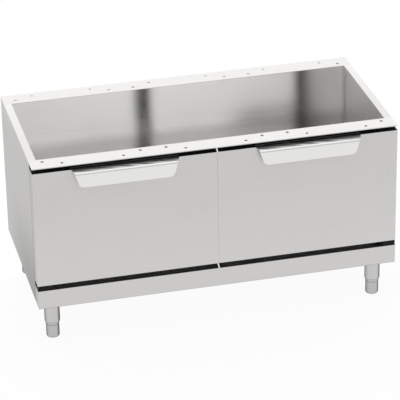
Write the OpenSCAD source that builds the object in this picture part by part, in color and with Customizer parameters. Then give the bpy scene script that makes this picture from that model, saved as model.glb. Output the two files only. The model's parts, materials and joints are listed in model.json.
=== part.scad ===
// Open-topped stainless steel base cabinet on four adjustable legs, with two hinged doors.
// The origin is on the floor, at the middle of the whole footprint. +X runs along the front
// from left to right, +Y runs from the doors to the back and +Z is up.

/* [Cabinet] */
// Overall width of the cabinet
cabinet_w = 1200; // [900:10:1500]
// Depth from the door fronts to the back
cabinet_d = 580; // [500:10:700]
// Height from the underside of the plinth to the top flange
body_h = 500; // [460:10:600]
// Height of the plinth's underside above the floor
leg_h = 145; // [130:5:180]
// Thickness of the carcass sheet
sheet_t = 1.5; // [1:0.1:2]
// Height of the plinth apron
plinth_h = 64; // [55:1:90]
// Width of the returns folded inwards along the sheets' edges
return_w = 22; // [16:1:25]
// Depth of the turned-down edges of the bottom panel
floor_edge_h = 24; // [16:1:30]
// Height of the upstand behind the doors' lower edge
upstand_h = 40; // [30:1:60]
// Depth of the hem along a side panel's front edge
hem_d = 11; // [6:1:12]

/* [Top frame] */
// Width of the front flange
front_flange_w = 64; // [60:1:90]
// Width of the rear flange
rear_flange_w = 70; // [55:1:90]
// Width of each side flange
side_flange_w = 25; // [18:1:35]
// Height of the folded front edge of the top
front_hem_h = 3; // [2.2:0.1:4]
// Depth of the folded front edge of the top
front_hem_d = 5; // [4:0.5:6]
// Depth of the rails' downstands
rail_drop = 40; // [30:1:60]
// Depth of the stiffening lip along the front flange's inner edge
rail_lip = 18; // [10:1:25]
// Thickness of the splice plates
splice_t = 3; // [2:0.5:5]
// Reach of a splice plate past the joint that it bridges
splice_reach = 30; // [20:1:40]

/* [Fixing holes] */
// Width of one appliance module
module_w = 400; // [300:10:400]
// Diameter of the holes nearest the opening
inner_hole_d = 11; // [6:0.5:12]
// Diameter of the holes nearest the outer edge
outer_hole_d = 9; // [5:0.5:11]
// Inner holes, distance from the module's edge
inner_hole_in = 42; // [35:1:60]
// Outer holes, distance from the module's edge
outer_hole_in = 101; // [80:1:130]
// Front outer row, distance from the front edge
front_row_y = 23; // [18:1:26]
// Rear outer row, distance from the back
rear_row_y = 24; // [18:1:26]
// Distance between the outer and the inner row
row_pitch = 23; // [18:1:26]

/* [Doors] */
// Thickness of a door
door_t = 46; // [38:1:50]
// Thickness of the door skin and liner
skin_t = 1.2; // [0.8:0.1:1.5]
// Outer radius of the door skin's folds
skin_r = 2; // [1.6:0.1:5]
// Width of the door skin's folded rear lips
rear_lip_w = 17; // [16:1:24]
// Gap between the two doors
seam_gap = 1.6; // [1.4:0.1:6]
// Gap between the doors' rear face and the carcass
door_gap = 4; // [3.8:0.1:6]
// Distance from the top surface to the doors' upper edge
top_gap = 17.5; // [15:0.5:22]
// Gap between the plinth and the doors' lower edge
bottom_gap = 18.5; // [14:0.5:24]
// Thickness of a door's end caps
cap_t = 14; // [12:1:20]
// Depth of the end caps below the skin's edge
cap_recess = 0.5; // [0.3:0.1:0.6]
// Width of a seal strip
seal_w = 14; // [8:1:15]
// Thickness of a seal strip
seal_t = 2.5; // [1.5:0.1:2.5]
// Distance from the door's edge to a seal strip
seal_in = 1; // [0.5:0.1:2]

/* [Handles] */
// Width of a handle at the door's face
handle_w = 349; // [260:1:380]
// Width of a handle at its front bend
handle_front_w = 336; // [240:1:340]
// Width of a handle along its lower edge
handle_low_w = 303; // [200:1:310]
// Reach of a handle's top strip in front of the door
strip_d = 22; // [20:1:35]
// Depth of the handle's tab on the door's end cap
tab_d = 18; // [14:1:24]
// Thickness of the handle sheet
handle_t = 1.5; // [1.2:0.1:2]
// Outer radius of the front bend
bend_r = 4; // [3:0.5:6]
// Length of the apron
apron_l = 49.5; // [35:0.5:60]
// Lean of the apron, with its lower edge to the front
apron_lean = 6; // [0:0.5:12]
// Radius of the apron's lower corners
apron_corner_r = 9; // [4:1:14]
// Number of screws through a handle's tab
handle_screw_n = 3; // [2:1:5]
// Distance from the handle's end to its first screw
handle_screw_in = 30; // [20:1:60]
// Radius of a handle screw's head
handle_screw_head_r = 3.5; // [2.5:0.5:4]
// Height of a handle screw's head
handle_screw_head_h = 1; // [0.8:0.1:1]
// Radius of a handle screw's shank
handle_screw_r = 1.8; // [1.5:0.1:2.2]
// Length of a handle screw's shank
handle_screw_l = 9; // [6:1:10]

/* [Hinges] */
// Distance from the cabinet's side to a door's pivot
pivot_in = 10; // [9:0.5:11]
// Distance from the doors' front to the pivot
pivot_back = 12; // [11:0.5:13]
// Radius of a hinge pin
pin_r = 4; // [3:0.5:5]
// Radial running clearance round a hinge pin
pin_clear = 0.05; // [0.03:0.01:0.1]
// Wall of a hinge bush
bush_wall = 2; // [1.5:0.5:2]
// Width of a hinge bush's flange past its wall
bush_flange = 2; // [1.5:0.5:2]
// Thickness of a hinge bush's flange
bush_flange_t = 2; // [1.5:0.5:3]
// Length of a hinge pin inside its bush
pin_grip = 12; // [10:1:12]
// Thickness of a top hinge bracket
bracket_t = 3; // [2:0.5:4]
// Length of a hinge bracket and block along the cabinet
bracket_w = 42; // [36:1:60]
// Depth of a hinge bracket and block
bracket_d = 24; // [22:1:28]
// Distance from the cabinet's side to a hinge bracket and block
bracket_in = 1; // [0.5:0.5:2]
// Distance from the doors' front to a hinge block
block_back = 2; // [1:0.5:3]
// Clearance under a door's lower bush
thrust_clear = 0.3; // [0.2:0.1:0.5]
// Radius of a hinge block screw's head
block_screw_head_r = 4.5; // [3.5:0.5:5]
// Height of a hinge block screw's head
block_screw_head_h = 3; // [2:0.5:4]
// Distance from a hinge block's inner end to its nearest screw
block_screw_edge = 7; // [6:0.5:8]
// Distance between the two screws of a hinge block
block_screw_pitch = 12; // [10:0.5:12]
// Radius of a hinge block screw's shank
block_screw_r = 2.5; // [2:0.5:3]

/* [Catches] */
// Length of a magnetic catch
catch_w = 50; // [40:1:60]
// Height of a magnetic catch
catch_h = 16; // [12:1:20]
// Depth of a magnetic catch behind the carcass front
catch_d = 14; // [10:1:20]
// Distance from the cabinet's middle to a catch's centre
catch_x = 60; // [50:1:120]
// Thickness of a striker plate
striker_t = 1.5; // [1:0.1:2]
// Gap between a closed door's striker and its catch
striker_gap = 0.3; // [0.2:0.1:0.5]
// Thickness of a catch's fixing ear
ear_t = 2; // [1.5:0.5:3]
// Height of a catch's fixing ear
ear_h = 14; // [11:1:18]
// Radius of a catch screw's head
catch_screw_head_r = 3.5; // [2.5:0.5:4]
// Height of a catch screw's head
catch_screw_head_h = 2; // [1.5:0.5:3]
// Radius of a catch screw's shank
catch_screw_r = 1.5; // [1:0.1:1.8]
// Distance between the two screws of a catch
catch_screw_pitch = 30; // [24:1:38]

/* [Legs] */
// Distance from the cabinet's side to a leg's axis
leg_in = 54; // [52:1:70]
// Distance from the doors' front to a front leg's axis
leg_front = 77; // [77:1:110]
// Distance from the back to a rear leg's axis
leg_rear = 50; // [50:1:80]
// Outer diameter of a leg tube
tube_d = 50.8; // [48:0.1:51]
// Wall of a leg tube
tube_wall = 1.5; // [1:0.1:2]
// Thickness of a leg tube's top cap
tube_cap_t = 3; // [2:0.5:5]
// Diameter of an adjustable foot
foot_d = 43.5; // [40:0.1:46]
// Height of an adjustable foot
foot_h = 46; // [30:1:50]
// Radius of the rounded rim round a foot's base
foot_rim_r = 5.5; // [1:0.5:8]
// Radius of a foot's spindle
spindle_r = 12; // [8:0.5:15]
// Radial sliding clearance round a spindle
spindle_clear = 0.1; // [0.05:0.01:0.1]
// How far a foot can be let down
foot_travel = 40; // [20:1:45]
// Open joint between a foot and its guide
foot_joint = 0.8; // [0.4:0.1:1]
// Height of the guide's neck above the foot
neck_h = 1; // [1:0.5:10]
// Height of the guide's cone up to the tube's end
cone_h = 11; // [8:1:20]
// Height of the guide's plug inside the tube
plug_h = 35; // [25:1:40]
// Side of a leg plate
leg_plate_w = 105; // [100:1:130]
// Thickness of a leg plate
leg_plate_t = 4; // [3:0.5:6]
// Radius of a leg bolt
leg_bolt_r = 6; // [5:0.5:8]
// Clearance round a leg bolt
leg_bolt_clear = 0.2; // [0.1:0.05:0.4]
// Radius of a leg bolt's head and nut across their corners
leg_nut_r = 10.5; // [9:0.5:12]
// Height of a leg bolt's head and nut
leg_nut_h = 7; // [5:0.5:9]

/* [Stiffener] */
// Width of the channel under the bottom panel
channel_w = 60; // [40:1:80]
// Depth of the channel under the bottom panel
channel_h = 22; // [15:1:28]

/* [Hidden] */
$fn = 64;
corners = ["front_left", "front_right", "rear_left", "rear_right"];
sides = ["left", "right"];
door_parts = ["door_skin", "door_liner", "door_core", "door_top_cap", "door_bottom_cap",
    "door_seals", "hinge_bushes", "striker", "handle", "handle_screws"];
side_hardware = ["side_panel", "hinge_bracket", "hinge_block", "hinge_pins", "catch"];
leg_parts = ["leg_plate", "leg_tube", "leg_guide", "foot"];

// Fit between pieces that are pressed or set into each other
fit_gap = 0.02;
// Overlap that cutting tools have past a face
cut = 1;

half_w = cabinet_w / 2;
top_z = leg_h + body_h;
floor_z = leg_h + plinth_h;
handle_out = strip_d - bend_r * (1 - cos(apron_lean)) + apron_l * sin(apron_lean);
front_y = (handle_out - cabinet_d) / 2;
rear_y = front_y + cabinet_d;
carcass_y = front_y + door_t + door_gap;
wall_x = half_w - sheet_t;
frame_front_y = front_y + front_flange_w;
frame_rear_y = rear_y - rear_flange_w;

door_w = (cabinet_w - seam_gap) / 2;
door_x = -half_w;
door_mid_x = door_x + door_w / 2;
door_z = floor_z + bottom_gap;
door_top_z = top_z - top_gap;
door_h = door_top_z - door_z;
door_back_y = front_y + door_t;
pivot_x = -half_w + pivot_in;
pivot_y = front_y + pivot_back;
bush_r = pin_r + pin_clear + bush_wall;
block_h = bottom_gap - bush_flange_t - thrust_clear;

module_n = floor(cabinet_w / module_w);
module_x0 = -module_n * module_w / 2;
inner_xs = [for (m = [0:module_n - 1]) for (x = [inner_hole_in, module_w - inner_hole_in])
    module_x0 + m * module_w + x];
outer_xs = [for (m = [0:module_n - 1]) for (x = [outer_hole_in, module_w - outer_hole_in])
    module_x0 + m * module_w + x];

tube_r = tube_d / 2;
foot_r = foot_d / 2;
tube_top_z = leg_h + sheet_t;
neck_z = foot_h + foot_joint;
tube_end_z = neck_z + neck_h + cone_h;
plug_top_z = tube_end_z + plug_h;
plate_z = leg_h + sheet_t;
leg_xs = [-half_w + leg_in, half_w - leg_in, -half_w + leg_in, half_w - leg_in];
leg_ys = [front_y + leg_front, front_y + leg_front, rear_y - leg_rear, rear_y - leg_rear];

// Centre of the handle's front bend, the angle where it ends and the apron's lower edge
bend_y = front_y - strip_d + bend_r;
bend_z = door_top_z - bend_r;
bend_end = 180 - apron_lean;
apron_low_z = bend_z + bend_r * sin(apron_lean) - apron_l * cos(apron_lean);
screw_span = handle_w - 2 * handle_screw_in;
screw_step = screw_span / (handle_screw_n - 1);
screw_xs = [for (i = [0:handle_screw_n - 1]) door_mid_x - screw_span / 2 + i * screw_step];
screw_y = front_y + skin_t + (tab_d - skin_t) / 2;
bracket_x = -half_w + bracket_in;
bracket_y = front_y + front_hem_d;
block_y = front_y + block_back;
block_screw_x1 = bracket_x + bracket_w - block_screw_edge;
block_screw_xs = [block_screw_x1 - block_screw_pitch, block_screw_x1];
catch_z = top_z - rail_drop;
catch_screw_xs = [-catch_x - catch_screw_pitch / 2, -catch_x + catch_screw_pitch / 2];

// A box between two corners
module block(a, b) {
    translate(a) cube(b - a);
}

// A shape drawn for the left end, mirrored for the right one
module at_side(i) {
    if (i == 0) children();
    else mirror([1, 0, 0]) children();
}

// A vertical pin or hole
module rod(x, y, z0, z1, r) {
    translate([x, y, z0]) cylinder(h = z1 - z0, r = r);
}

// Carcass

module side_panel(i) {
    color("silver") at_side(i) {
        // wall
        block([-half_w, carcass_y, leg_h], [-wall_x, rear_y, top_z - sheet_t]);
        // top flange
        block([-half_w, frame_front_y, top_z - sheet_t],
              [-half_w + side_flange_w, frame_rear_y, top_z]);
        // hemmed front edge
        block([-wall_x, carcass_y, floor_z], [-wall_x + sheet_t, carcass_y + hem_d, top_z - sheet_t]);
        // rear return behind the back panel
        block([-wall_x, rear_y - sheet_t, floor_z],
              [-wall_x + return_w, rear_y, top_z - rail_drop]);
        // bottom return
        block([-wall_x, carcass_y, leg_h],
              [-wall_x + return_w, rear_y - sheet_t - return_w, leg_h + sheet_t]);
    }
}

module back_panel() {
    color("silver")
        block([-wall_x, rear_y - 2 * sheet_t, floor_z], [wall_x, rear_y - sheet_t, top_z - sheet_t]);
}

module bottom_panel() {
    edge_z = floor_z - floor_edge_h;
    back = rear_y - sheet_t;
    color("silver") {
        block([-wall_x, carcass_y, floor_z - sheet_t], [wall_x, back, floor_z]);
        // turned-down front and rear edges
        for (y = [carcass_y, back - sheet_t])
            block([-wall_x, y, edge_z], [wall_x, y + sheet_t, floor_z - sheet_t]);
        // turned-down ends
        for (i = [0, 1]) at_side(i)
            block([-wall_x, carcass_y + sheet_t, edge_z],
                  [-wall_x + sheet_t, back - sheet_t, floor_z - sheet_t]);
        // upstand behind the doors' lower edge
        block([-wall_x + sheet_t, carcass_y, floor_z],
              [wall_x - sheet_t, carcass_y + sheet_t, floor_z + upstand_h]);
    }
}

module floor_channel() {
    y1 = (carcass_y + rear_y) / 2 - channel_w / 2;
    y2 = y1 + channel_w;
    z1 = floor_z - sheet_t;
    z0 = z1 - channel_h;
    x1 = wall_x - sheet_t;
    color("silver") {
        // closed side, then the two walls and their flanges
        block([-x1, y1, z0], [x1, y2, z0 + sheet_t]);
        block([-x1, y1, z0], [x1, y1 + sheet_t, z1]);
        block([-x1, y2 - sheet_t, z0], [x1, y2, z1]);
        block([-x1, y1 - return_w, z1 - sheet_t], [x1, y1 + sheet_t, z1]);
        block([-x1, y2 - sheet_t, z1 - sheet_t], [x1, y2 + return_w, z1]);
    }
}

module plinth() {
    color("silver") {
        // front face
        block([-half_w, front_y, leg_h], [half_w, front_y + sheet_t, floor_z]);
        // top ledge
        block([-half_w, front_y + sheet_t, floor_z - sheet_t], [half_w, carcass_y, floor_z]);
        // ends
        for (i = [0, 1]) at_side(i)
            block([-half_w, front_y + sheet_t, leg_h], [-wall_x, carcass_y, floor_z - sheet_t]);
        // bottom return
        block([-wall_x, front_y + sheet_t, leg_h], [wall_x, front_y + sheet_t + return_w, leg_h + sheet_t]);
        // rear flange against the bottom panel
        block([-wall_x, carcass_y - sheet_t, floor_z - floor_edge_h],
              [wall_x, carcass_y, floor_z - sheet_t]);
    }
}

module rear_apron() {
    color("silver") {
        block([-wall_x, rear_y - sheet_t, leg_h], [wall_x, rear_y, floor_z]);
        block([-wall_x, rear_y - sheet_t - return_w, leg_h], [wall_x, rear_y - sheet_t, leg_h + sheet_t]);
    }
}

// The fixing holes along one rail, its outer row at outer_y and its inner row at inner_y
module rail_holes(outer_y, inner_y) {
    for (x = outer_xs) rod(x, outer_y, top_z - sheet_t - cut, top_z + cut, outer_hole_d / 2);
    for (x = inner_xs) rod(x, inner_y, top_z - sheet_t - cut, top_z + cut, inner_hole_d / 2);
}

module top_rail_front() {
    color("whitesmoke") difference() {
        union() {
            block([-half_w, front_y, top_z - sheet_t], [half_w, frame_front_y, top_z]);
            // folded front edge
            block([-half_w, front_y, top_z - front_hem_h],
                  [half_w, front_y + front_hem_d, top_z - sheet_t]);
            // downstand that the doors close against
            block([-wall_x + sheet_t, carcass_y, top_z - rail_drop],
                  [wall_x - sheet_t, carcass_y + sheet_t, top_z - sheet_t]);
            // lip along the opening
            block([-half_w + side_flange_w, frame_front_y - sheet_t, top_z - rail_lip],
                  [half_w - side_flange_w, frame_front_y, top_z - sheet_t]);
        }
        rail_holes(front_y + front_row_y, front_y + front_row_y + row_pitch);
        for (i = [0, 1]) at_side(i) catch_shanks(fit_gap, cut);
    }
}

module top_rail_rear() {
    color("whitesmoke") difference() {
        union() {
            block([-half_w, frame_rear_y, top_z - sheet_t], [half_w, rear_y, top_z]);
            block([-wall_x, rear_y - sheet_t, top_z - rail_drop], [wall_x, rear_y, top_z - sheet_t]);
        }
        rail_holes(rear_y - rear_row_y, rear_y - rear_row_y - row_pitch);
    }
}

module splice_plates() {
    z1 = top_z - sheet_t;
    color("silver") for (i = [0, 1]) at_side(i) {
        block([-wall_x + sheet_t, carcass_y + sheet_t, z1 - splice_t],
              [-half_w + side_flange_w, frame_front_y + splice_reach, z1]);
        block([-wall_x, frame_rear_y - splice_reach, z1 - splice_t],
              [-half_w + side_flange_w, frame_rear_y + splice_reach, z1]);
    }
}

// Legs

module leg_plate(k) {
    x0 = k % 2 == 0 ? -wall_x : wall_x - leg_plate_w;
    y0 = k < 2 ? carcass_y : rear_y - sheet_t - leg_plate_w;
    color("silver") difference() {
        block([x0, y0, plate_z], [x0 + leg_plate_w, y0 + leg_plate_w, plate_z + leg_plate_t]);
        rod(leg_xs[k], leg_ys[k], plate_z - cut, plate_z + leg_plate_t + cut, leg_bolt_r + leg_bolt_clear);
    }
}

module leg_tube(k) {
    color("silver") translate([leg_xs[k], leg_ys[k], 0]) difference() {
        rod(0, 0, tube_end_z, tube_top_z, tube_r);
        rod(0, 0, tube_end_z - cut, tube_top_z - tube_cap_t, tube_r - tube_wall);
        rod(0, 0, tube_end_z, tube_top_z + cut, leg_bolt_r + leg_bolt_clear);
    }
}

module leg_guide(k) {
    color("gray") translate([leg_xs[k], leg_ys[k], 0]) difference() {
        union() {
            rod(0, 0, neck_z, neck_z + neck_h, foot_r);
            translate([0, 0, neck_z + neck_h]) cylinder(h = cone_h, r1 = foot_r, r2 = tube_r);
            rod(0, 0, tube_end_z, plug_top_z, tube_r - tube_wall - fit_gap);
        }
        rod(0, 0, neck_z - cut, plug_top_z + cut, spindle_r + spindle_clear);
    }
}

module foot(k) {
    color("darkgray") translate([leg_xs[k], leg_ys[k], 0]) {
        rod(0, 0, foot_rim_r, foot_h, foot_r);
        rod(0, 0, 0, foot_rim_r, foot_r - foot_rim_r);
        // rounded rim
        translate([0, 0, foot_rim_r]) rotate_extrude() translate([foot_r - foot_rim_r, 0])
            intersection() {
                circle(r = foot_rim_r);
                translate([0, -foot_rim_r]) square(foot_rim_r);
            }
        rod(0, 0, foot_h, plug_top_z + foot_travel, spindle_r);
    }
}

module leg_bolts() {
    color("gray") for (k = [0:3]) translate([leg_xs[k], leg_ys[k], 0]) {
        z1 = plate_z + leg_plate_t;
        z0 = tube_top_z - tube_cap_t;
        translate([0, 0, z1]) cylinder(h = leg_nut_h, r = leg_nut_r, $fn = 6);
        rod(0, 0, z0 - leg_nut_h, z1, leg_bolt_r);
        translate([0, 0, z0 - leg_nut_h]) cylinder(h = leg_nut_h, r = leg_nut_r, $fn = 6);
    }
}

// Doors, drawn for the left side

// A door seen from above, its two front corners rounded, drawn in by a thickness on all sides
module folded_outline(in) {
    x0 = door_x + in;
    x1 = door_x + door_w - in;
    y0 = front_y + in;
    r = skin_r - in;
    translate([x0 + r, y0]) square([x1 - x0 - 2 * r, door_back_y - in - y0]);
    translate([x0, y0 + r]) square([x1 - x0, door_back_y - in - y0 - r]);
    for (x = [x0 + r, x1 - r]) translate([x, y0 + r]) circle(r = r);
}

// What fills the skin between heights z0 and z1
module door_filling(z0, z1) {
    translate([0, 0, z0]) linear_extrude(height = z1 - z0) folded_outline(skin_t);
}

module door_skin(i) {
    x1 = door_x + door_w;
    color("gainsboro") at_side(i) difference() {
        union() {
            translate([0, 0, door_z]) linear_extrude(height = door_h) difference() {
                folded_outline(0);
                folded_outline(skin_t);
                // open rear
                translate([door_x + skin_t, door_back_y - 2 * skin_t])
                    square([door_w - 2 * skin_t, 2 * skin_t + cut]);
            }
            // lips folded inwards along the rear
            for (x = [door_x + skin_t, x1 - skin_t - rear_lip_w])
                block([x, door_back_y - skin_t, door_z], [x + rear_lip_w, door_back_y, door_top_z]);
        }
        // notch that the handle's strip passes through
        block([door_mid_x - handle_w / 2 - fit_gap, front_y - cut, door_top_z - handle_t],
              [door_mid_x + handle_w / 2 + fit_gap, front_y + skin_t, door_top_z + cut]);
    }
}

module door_liner(i) {
    in = skin_t + rear_lip_w;
    color("gainsboro") at_side(i)
        block([door_x + in, door_back_y - skin_t, door_z],
              [door_x + door_w - in, door_back_y, door_top_z]);
}

module door_core(i) {
    color("khaki") at_side(i) door_filling(door_z + cap_t, door_top_z - cap_recess - cap_t);
}

// An end cap between heights z0 and z1, bored for the hinge bush
module door_cap(z0, z1) {
    difference() {
        door_filling(z0, z1);
        rod(pivot_x, pivot_y, z0 - cut, z1 + cut, bush_r + fit_gap);
    }
}

module door_top_cap(i) {
    z1 = door_top_z - cap_recess;
    color("black") at_side(i) difference() {
        door_cap(z1 - cap_t, z1);
        // seat of the handle's tab
        block([door_mid_x - handle_w / 2 - fit_gap, front_y, door_top_z - handle_t],
              [door_mid_x + handle_w / 2 + fit_gap, front_y + tab_d + fit_gap, z1 + cut]);
        for (x = screw_xs)
            rod(x, screw_y, door_top_z - handle_screw_head_h - handle_screw_l - fit_gap, z1,
                handle_screw_r + fit_gap);
    }
}

module door_bottom_cap(i) {
    color("black") at_side(i) door_cap(door_z + cap_recess, door_z + cap_t);
}

module door_seals(i) {
    color("black") at_side(i)
        for (x = [door_x + seal_in, door_x + door_w - seal_in - seal_w])
            block([x, door_back_y, door_z], [x + seal_w, door_back_y + seal_t, door_top_z]);
}

module hinge_bushes(i) {
    z1 = door_top_z - cap_recess;
    z0 = door_z + cap_recess;
    color("black") at_side(i) difference() {
        union() {
            rod(pivot_x, pivot_y, z1 - cap_t, z1, bush_r);
            rod(pivot_x, pivot_y, z1, z1 + bush_flange_t, bush_r + bush_flange);
            rod(pivot_x, pivot_y, z0, door_z + cap_t, bush_r);
            rod(pivot_x, pivot_y, door_z - bush_flange_t, z0, bush_r + bush_flange);
        }
        rod(pivot_x, pivot_y, door_z - bush_flange_t - cut, z1 + bush_flange_t + cut, pin_r + pin_clear);
    }
}

module striker(i) {
    color("gray") at_side(i)
        block([-catch_x - catch_w / 2, door_back_y, catch_z - catch_h],
              [-catch_x + catch_w / 2, door_back_y + striker_t, catch_z]);
}

// Handle

// Side view of the bend and the apron, with Y to the right and Z up
module apron_profile() {
    reach = 3 * bend_r;
    mid = (90 + bend_end) / 2;
    translate([bend_y, bend_z]) {
        intersection() {
            difference() {
                circle(r = bend_r);
                circle(r = bend_r - handle_t);
            }
            polygon([[0, 0], [0, reach], reach * [cos(mid), sin(mid)],
                     reach * [cos(bend_end), sin(bend_end)]]);
        }
        rotate(bend_end) translate([bend_r - handle_t, 0]) square([handle_t, apron_l]);
    }
}

// Front view of the apron: a trapezium with rounded lower corners
module apron_outline() {
    top = handle_front_w / 2;
    low = handle_low_w / 2;
    z0 = apron_low_z;
    z1 = door_top_z + cut;
    r = apron_corner_r;
    // slope of the ends, and the corner circle's centre
    slope = atan2(top - low, z1 - z0);
    cx = low - r * (1 - sin(slope)) / cos(slope);
    cz = z0 + r;
    // where the circle meets the slanted end
    tx = cx + r * cos(slope);
    tz = cz - r * sin(slope);
    for (s = [-1, 1]) translate([s * cx, cz]) circle(r = r);
    polygon([[-top, z1], [top, z1], [tx, tz], [cx, z0], [-cx, z0], [-tx, tz]]);
}

// Top view of the strip and its tab
module strip_outline() {
    back = handle_w / 2;
    front = handle_front_w / 2;
    polygon([[-back, front_y + tab_d], [back, front_y + tab_d], [back, front_y],
             [front, bend_y], [-front, bend_y], [-back, front_y]]);
}

module handle(i) {
    color("white") at_side(i) translate([door_mid_x, 0, 0]) {
        difference() {
            translate([0, 0, door_top_z - handle_t]) linear_extrude(height = handle_t) strip_outline();
            for (x = screw_xs) translate([-door_mid_x, 0, 0]) {
                rod(x, screw_y, door_top_z - handle_screw_head_h, door_top_z + cut,
                    handle_screw_head_r + fit_gap);
                rod(x, screw_y, door_top_z - handle_t - cut, door_top_z, handle_screw_r + fit_gap);
            }
        }
        intersection() {
            translate([-handle_w / 2, 0, 0]) rotate([90, 0, 90])
                linear_extrude(height = handle_w) apron_profile();
            translate([0, front_y + cut, 0]) rotate([90, 0, 0])
                linear_extrude(height = handle_out + 2 * cut) apron_outline();
        }
    }
}

module handle_screws(i) {
    z1 = door_top_z;
    color("gray") at_side(i) for (x = screw_xs) {
        rod(x, screw_y, z1 - handle_screw_head_h, z1, handle_screw_head_r);
        rod(x, screw_y, z1 - handle_screw_head_h - handle_screw_l, z1 - handle_screw_head_h, handle_screw_r);
    }
}

// Hinges

module hinge_bracket(i) {
    z1 = top_z - sheet_t;
    color("black") at_side(i) difference() {
        block([bracket_x, bracket_y, z1 - bracket_t], [bracket_x + bracket_w, bracket_y + bracket_d, z1]);
        rod(pivot_x, pivot_y, z1 - bracket_t - cut, z1 + cut, pin_r + fit_gap);
    }
}

// The two screws of a hinge block, or with a margin the holes for them
module block_screws(margin, over) {
    z1 = floor_z + block_h;
    for (x = block_screw_xs) {
        rod(x, pivot_y, floor_z - over, z1, block_screw_r + margin);
        rod(x, pivot_y, z1 - block_screw_head_h - margin, z1 + over, block_screw_head_r + margin);
    }
}

module hinge_block(i) {
    color("black") at_side(i) difference() {
        block([bracket_x, block_y, floor_z], [bracket_x + bracket_w, block_y + bracket_d, floor_z + block_h]);
        rod(pivot_x, pivot_y, floor_z - cut, floor_z + block_h + cut, pin_r + fit_gap);
        block_screws(fit_gap, cut);
    }
}

module hinge_pins(i) {
    color("gray") at_side(i) {
        rod(pivot_x, pivot_y, door_top_z - cap_recess - pin_grip, top_z - sheet_t, pin_r);
        rod(pivot_x, pivot_y, floor_z, door_z + cap_recess + pin_grip, pin_r);
    }
}

module hinge_block_screws() {
    color("gray") for (i = [0, 1]) at_side(i) block_screws(0, 0);
}

// Catches

// The shanks of a catch's screws, or with a margin the holes for them
module catch_shanks(margin, over) {
    z = catch_z + ear_h / 2;
    for (x = catch_screw_xs) translate([x, carcass_y - over, z]) rotate([-90, 0, 0])
        cylinder(h = sheet_t + ear_t + 2 * over, r = catch_screw_r + margin);
}

module catch(i) {
    x0 = -catch_x - catch_w / 2;
    x1 = -catch_x + catch_w / 2;
    ear_y = carcass_y + sheet_t;
    color("dimgray") at_side(i) difference() {
        union() {
            block([x0, door_back_y + striker_t + striker_gap, catch_z - catch_h],
                  [x1, carcass_y + catch_d, catch_z]);
            block([x0, ear_y, catch_z], [x1, ear_y + ear_t, catch_z + ear_h]);
        }
        catch_shanks(fit_gap, cut);
    }
}

module catch_screws() {
    z = catch_z + ear_h / 2;
    color("gray") for (i = [0, 1]) at_side(i) {
        catch_shanks(0, 0);
        for (x = catch_screw_xs) translate([x, carcass_y + sheet_t + ear_t, z]) rotate([-90, 0, 0])
            cylinder(h = catch_screw_head_h, r = catch_screw_head_r);
    }
}

back_panel();
bottom_panel();
floor_channel();
plinth();
rear_apron();
top_rail_front();
top_rail_rear();
splice_plates();
leg_bolts();
hinge_block_screws();
catch_screws();
for (i = [0, 1]) {
    side_panel(i);
    hinge_bracket(i);
    hinge_block(i);
    hinge_pins(i);
    catch(i);
    door_skin(i);
    door_liner(i);
    door_core(i);
    door_top_cap(i);
    door_bottom_cap(i);
    door_seals(i);
    hinge_bushes(i);
    striker(i);
    handle(i);
    handle_screws(i);
}
for (k = [0:3]) {
    leg_plate(k);
    leg_tube(k);
    leg_guide(k);
    foot(k);
}
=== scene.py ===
import json
import math

import bmesh
import bpy
import numpy as np
from mathutils import Matrix, Vector


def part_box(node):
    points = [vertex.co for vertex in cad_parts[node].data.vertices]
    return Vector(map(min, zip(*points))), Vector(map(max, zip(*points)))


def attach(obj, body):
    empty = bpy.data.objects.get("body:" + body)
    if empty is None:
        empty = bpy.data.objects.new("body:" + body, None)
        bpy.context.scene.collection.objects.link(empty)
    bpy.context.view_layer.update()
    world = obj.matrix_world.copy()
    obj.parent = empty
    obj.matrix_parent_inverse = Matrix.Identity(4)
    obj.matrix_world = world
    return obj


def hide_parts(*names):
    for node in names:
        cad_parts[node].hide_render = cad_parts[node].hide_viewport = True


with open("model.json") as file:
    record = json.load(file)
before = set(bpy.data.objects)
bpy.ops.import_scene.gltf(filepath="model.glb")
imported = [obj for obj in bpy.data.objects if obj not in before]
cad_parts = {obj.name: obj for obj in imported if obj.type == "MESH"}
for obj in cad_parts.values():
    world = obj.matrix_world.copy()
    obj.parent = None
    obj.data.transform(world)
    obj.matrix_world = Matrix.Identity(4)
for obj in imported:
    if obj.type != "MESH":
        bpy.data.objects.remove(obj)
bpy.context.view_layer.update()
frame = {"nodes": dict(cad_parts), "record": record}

# Open-topped base cabinet for a commercial kitchen: brushed steel sheet, two doors, four legs
mm = 0.001
nodes = frame["nodes"]
sides = ("left", "right")
corners = ("front_left", "front_right", "rear_left", "rear_right")
scene = bpy.context.scene

print("stage: camera")
cameraSet = {"x": -1626, "y": -6835, "z": 3853, "yaw": 13.42, "pitch": 26.676, "roll": -1.08,
             "focal": 2356, "frame": 400, "sensor": 36, "far": 60000}  # mm, degrees, focal length in pixels


def placeCamera(s):
    # the view direction and right hand from yaw and pitch, then both turned by the roll
    yaw, pitch, roll = (math.radians(s[k]) for k in ("yaw", "pitch", "roll"))
    ahead = Vector((math.sin(yaw) * math.cos(pitch), math.cos(yaw) * math.cos(pitch), -math.sin(pitch)))
    flat = Vector((math.cos(yaw), -math.sin(yaw), 0))
    upward = flat.cross(ahead)
    right = math.cos(roll) * flat + math.sin(roll) * upward
    up = -math.sin(roll) * flat + math.cos(roll) * upward
    data = bpy.data.cameras.new("camera")
    data.sensor_width = s["sensor"]
    data.lens = s["focal"] / s["frame"] * s["sensor"]
    data.clip_end = s["far"] * mm
    camera = bpy.data.objects.new("camera", data)
    turn = Matrix((right, up, -ahead)).transposed().to_4x4()
    camera.matrix_world = Matrix.Translation(Vector((s["x"], s["y"], s["z"])) * mm) @ turn
    scene.collection.objects.link(camera)
    scene.camera = camera


placeCamera(cameraSet)
scene.view_settings.view_transform = "Standard"

print("stage: shader groups")


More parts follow.
